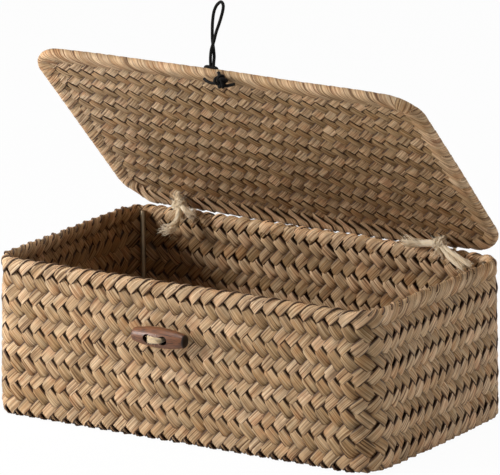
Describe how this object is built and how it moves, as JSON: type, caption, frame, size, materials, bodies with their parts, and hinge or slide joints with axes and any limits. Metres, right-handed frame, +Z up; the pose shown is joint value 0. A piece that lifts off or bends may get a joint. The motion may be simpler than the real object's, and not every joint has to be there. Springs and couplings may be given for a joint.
{
  "type": "woven lidded box",
  "caption": "Rectangular twill-woven plant-fibre box on a wire frame, with a tied-on hinged lid that closes by an elastic loop over a wooden toggle.",
  "frame": {"origin": "centre of the basket's base, on its underside", "axes": "+X along the long side to the right as seen from the front, +Y to the back where the lid is tied, +Z up"},
  "size_m": [0.283, 0.1926, 0.2716],
  "materials": {
    "seagrass": "matte",
    "frame_wire": "satin",
    "jute_twine": "matte",
    "toggle_wood": "satin",
    "elastic_cord": "matte"
  },
  "bodies": {
    "basket": {"woven_body": "seagrass", "rim_fold": "seagrass", "rim_wire": "frame_wire", "base_wire": "frame_wire", "post_front_left": "frame_wire", "post_front_right": "frame_wire", "post_back_left": "frame_wire", "post_back_right": "frame_wire"},
    "lid": {"lid_panel": "seagrass", "lid_border": "seagrass", "lid_wire": "frame_wire", "loop_collar": "elastic_cord", "loop_knot": "elastic_cord", "hinge_tie_left": "jute_twine", "hinge_tie_right": "jute_twine"},
    "loop": {"elastic_loop": "elastic_cord"},
    "toggle": {"toggle_button": "toggle_wood", "toggle_stitch": "jute_twine"}
  },
  "joints": [
    {"name": "lid_hinge", "type": "hinge", "parent": "basket", "child": "lid", "pos_m": [0, 0.0834, 0.1032], "axis": [-1, 0, 0], "range_deg": [-45.5, 134.5]},
    {"name": "loop_swing", "type": "hinge", "parent": "lid", "child": "loop", "pos_m": [-0.008, -0.03007, 0.22949], "axis": [1, 0, 0], "range_deg": [-115, 90], "stiffness_Nm_per_rad": 0.0005},
    {"name": "toggle_swivel", "type": "hinge", "parent": "basket", "child": "toggle", "pos_m": [-0.008, -0.09055, 0.0693], "axis": [0, 1, 0], "range_deg": [-90, 90]}
  ]
}
